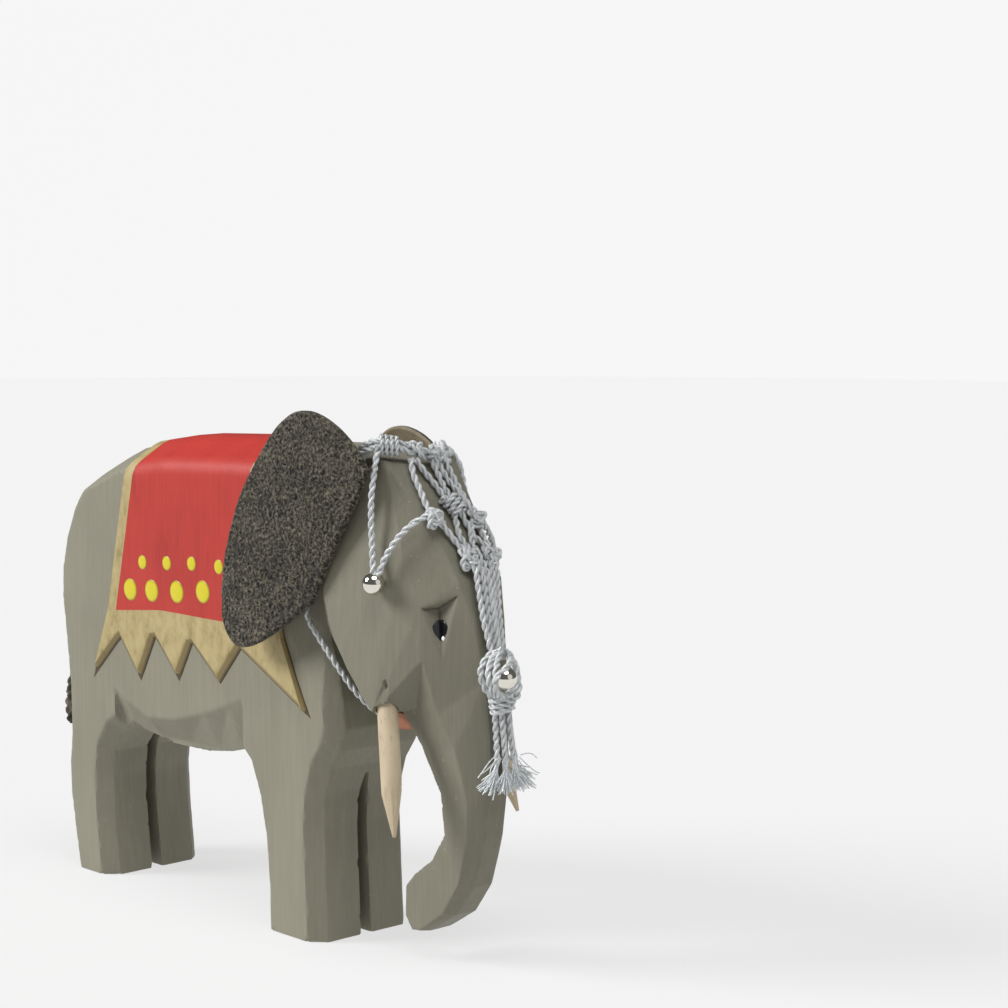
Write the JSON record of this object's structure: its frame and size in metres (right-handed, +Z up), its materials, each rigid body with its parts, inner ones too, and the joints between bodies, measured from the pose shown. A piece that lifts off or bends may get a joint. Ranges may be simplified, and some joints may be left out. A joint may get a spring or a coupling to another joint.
{
  "type": "elephant figurine",
  "caption": "Knife-carved standing wooden elephant with relief saddle cloth, leather ears and tail, round tusks and a knotted cord headdress; a decorative figure that rests on its feet",
  "frame": {"origin": "on the floor, under the middle of the figure's overall box measured without the cord headdress", "axes": "+X towards the trunk, +Y the elephant's left side, +Z up; the four soles lie on z = 0"},
  "size_m": [0.2609, 0.072, 0.1896],
  "materials": {
    "body_block": "matte grey-taupe stain over knife-cut facets; the body also carries the painted cloth",
    "crown_band": "silver-grey metallic two-strand cord",
    "crown_cord_centre_left": "silver-grey metallic two-strand cord",
    "crown_cord_centre_right": "silver-grey metallic two-strand cord",
    "crown_cord_left": "silver-grey metallic two-strand cord",
    "crown_cord_right": "silver-grey metallic two-strand cord",
    "ear_left": "rough suede outside, smooth grain inside",
    "ear_right": "rough suede outside, smooth grain inside",
    "head_block": "matte grey-taupe stain over knife-cut facets, eyes painted black with a white dot",
    "knot_brow_left": "silver-grey metallic two-strand cord",
    "knot_brow_right": "silver-grey metallic two-strand cord",
    "knot_centre": "silver-grey metallic two-strand cord",
    "knot_low_left": "silver-grey metallic two-strand cord",
    "knot_low_right": "silver-grey metallic two-strand cord",
    "neck_dowel_lower": "plain turned beech, glued in",
    "neck_dowel_upper": "plain turned beech, glued in",
    "net_cord_centre_left": "silver-grey metallic two-strand cord",
    "net_cord_centre_right": "silver-grey metallic two-strand cord",
    "net_cord_left_low": "silver-grey metallic two-strand cord",
    "net_cord_right_low": "silver-grey metallic two-strand cord",
    "side_bead_left": "polished nickel-plated metal",
    "side_bead_right": "polished nickel-plated metal",
    "side_cord_front_left": "silver-grey metallic two-strand cord",
    "side_cord_front_right": "silver-grey metallic two-strand cord",
    "side_cord_rear_left": "silver-grey metallic two-strand cord",
    "side_cord_rear_right": "silver-grey metallic two-strand cord",
    "tail": "twisted leather strip with a ragged end",
    "tassel": "silver-grey metallic two-strand cord",
    "throat_cord": "silver-grey metallic two-strand cord",
    "trunk_bead": "polished nickel-plated metal",
    "trunk_bundle": "silver-grey metallic two-strand cord",
    "trunk_knot": "silver-grey metallic two-strand cord",
    "tusk_left": "bare beech, knife-tapered",
    "tusk_right": "bare beech, knife-tapered"
  },
  "bodies": {
    "root": {"body_block": "body_block", "crown_band": "crown_band", "crown_cord_centre_left": "crown_cord_centre_left", "crown_cord_centre_right": "crown_cord_centre_right", "crown_cord_left": "crown_cord_left", "crown_cord_right": "crown_cord_right", "head_block": "head_block", "knot_brow_left": "knot_brow_left", "knot_brow_right": "knot_brow_right", "knot_centre": "knot_centre", "knot_low_left": "knot_low_left", "knot_low_right": "knot_low_right", "neck_dowel_lower": "neck_dowel_lower", "neck_dowel_upper": "neck_dowel_upper", "net_cord_centre_left": "net_cord_centre_left", "net_cord_centre_right": "net_cord_centre_right", "net_cord_left_low": "net_cord_left_low", "net_cord_right_low": "net_cord_right_low", "throat_cord": "throat_cord", "trunk_bead": "trunk_bead", "trunk_bundle": "trunk_bundle", "trunk_knot": "trunk_knot", "tusk_left": "tusk_left", "tusk_right": "tusk_right"},
    "ear_right": {"ear_right": "ear_right"},
    "ear_left": {"ear_left": "ear_left"},
    "tail": {"tail": "tail"},
    "side_loop_right": {"side_cord_rear_right": "side_cord_rear_right", "side_cord_front_right": "side_cord_front_right", "side_bead_right": "side_bead_right"},
    "side_loop_left": {"side_cord_rear_left": "side_cord_rear_left", "side_cord_front_left": "side_cord_front_left", "side_bead_left": "side_bead_left"},
    "tassel": {"tassel": "tassel"}
  },
  "joints": [
    {"name": "ear_right_flap", "type": "hinge", "parent": "root", "child": "ear_right", "pos_m": [0.0625, -0.0286, 0.1274], "axis": [0.4507, 0.1117, 0.8857], "range_deg": [-1, 35], "stiffness_Nm_per_rad": 0.05},
    {"name": "ear_left_flap", "type": "hinge", "parent": "root", "child": "ear_left", "pos_m": [0.0625, 0.0286, 0.1274], "axis": [-0.4507, 0.1117, -0.8857], "range_deg": [-1, 35], "stiffness_Nm_per_rad": 0.05},
    {"name": "tail_swing", "type": "hinge", "parent": "root", "child": "tail", "pos_m": [-0.1077, 0, 0.121], "axis": [1, 0, 0], "range_deg": [-30, 30], "stiffness_Nm_per_rad": 0.01},
    {"name": "side_loop_right_swing", "type": "hinge", "parent": "root", "child": "side_loop_right", "pos_m": [0.0841, -0.0204, 0.1712], "axis": [-0.6623, -0.1634, 0.7312], "range_deg": [0, 50]},
    {"name": "side_loop_left_swing", "type": "hinge", "parent": "root", "child": "side_loop_left", "pos_m": [0.0841, 0.0204, 0.1712], "axis": [0.6623, -0.1634, -0.7312], "range_deg": [0, 50]},
    {"name": "tassel_swing", "type": "hinge", "parent": "root", "child": "tassel", "pos_m": [0.1297, -0.005, 0.0918], "axis": [0, -1, 0], "range_deg": [0, 45]}
  ]
}
